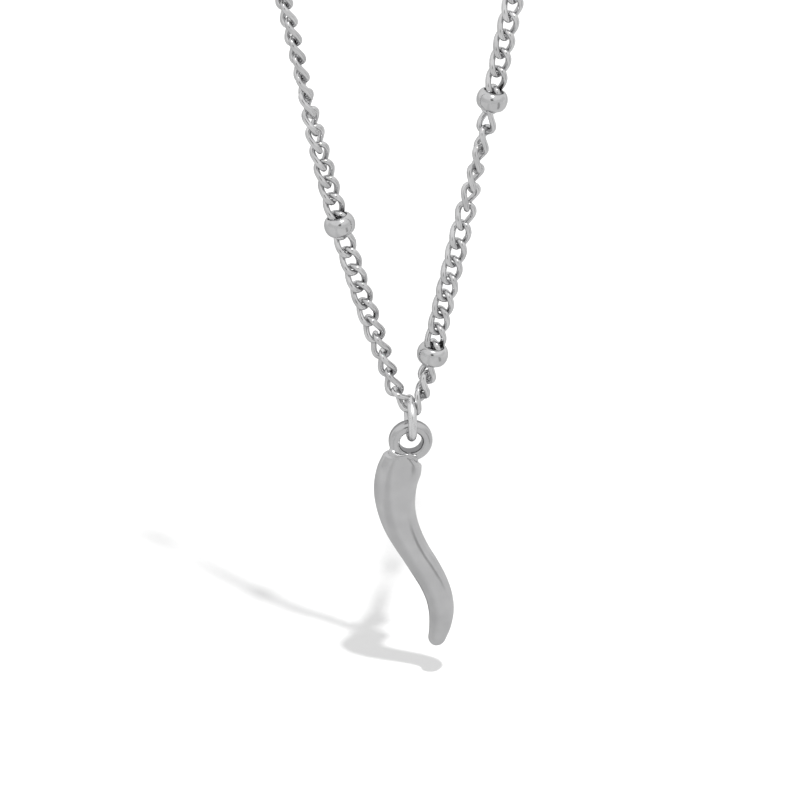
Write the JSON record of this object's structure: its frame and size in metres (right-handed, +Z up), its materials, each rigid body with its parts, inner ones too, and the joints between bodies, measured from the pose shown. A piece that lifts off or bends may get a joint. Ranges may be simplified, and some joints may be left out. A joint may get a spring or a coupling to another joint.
{
  "type": "chili pepper charm necklace",
  "caption": "Polished steel curb chain with barrel beads, carrying a curved chili pepper charm on a thick round jump ring; it hangs as a whole loop from the nape.",
  "frame": {"origin": "middle of the clasp's ring at the nape, where the necklace hangs", "axes": "+X to the right as a viewer in front sees it, +Y back from the charm towards the nape, +Z up"},
  "size_m": [0.1029, 0.1016, 0.1785],
  "materials": {
    "chain_steel": "bright polished stainless steel",
    "bead_steel": "polished stainless steel with a soft shine",
    "ring_steel": "bright polished round wire",
    "charm_steel": "satin polished cast steel with soft lengthwise bands",
    "clasp_steel": "polished stainless steel"
  },
  "bodies": {
    "chain": {"chain_links": "chain_steel", "chain_back_left": "chain_steel", "chain_back_right": "chain_steel", "bead_01": "bead_steel", "bead_02": "bead_steel", "bead_03": "bead_steel", "bead_04": "bead_steel", "bead_05": "bead_steel", "bead_06": "bead_steel", "bead_07": "bead_steel", "bead_08": "bead_steel", "bead_09": "bead_steel", "bead_10": "bead_steel", "bead_11": "bead_steel", "bead_12": "bead_steel", "bead_13": "bead_steel", "bead_14": "bead_steel", "bead_15": "bead_steel", "bead_16": "bead_steel", "bead_17": "bead_steel", "bead_18": "bead_steel", "clasp": "clasp_steel", "end_ring_left": "clasp_steel", "end_ring_right": "clasp_steel"},
    "jump_ring": {"jump_ring": "ring_steel"},
    "charm": {"charm": "charm_steel"}
  },
  "joints": [
    {"name": "ring_swing", "type": "hinge", "parent": "chain", "child": "jump_ring", "pos_m": [0.00007, -0.0978, -0.15096], "axis": [1, 0, 0], "range_deg": [-35, 35]},
    {"name": "charm_swing", "type": "hinge", "parent": "jump_ring", "child": "charm", "pos_m": [0.00007, -0.0978, -0.1528], "axis": [0, 1, 0], "range_deg": [-55, 55]}
  ]
}
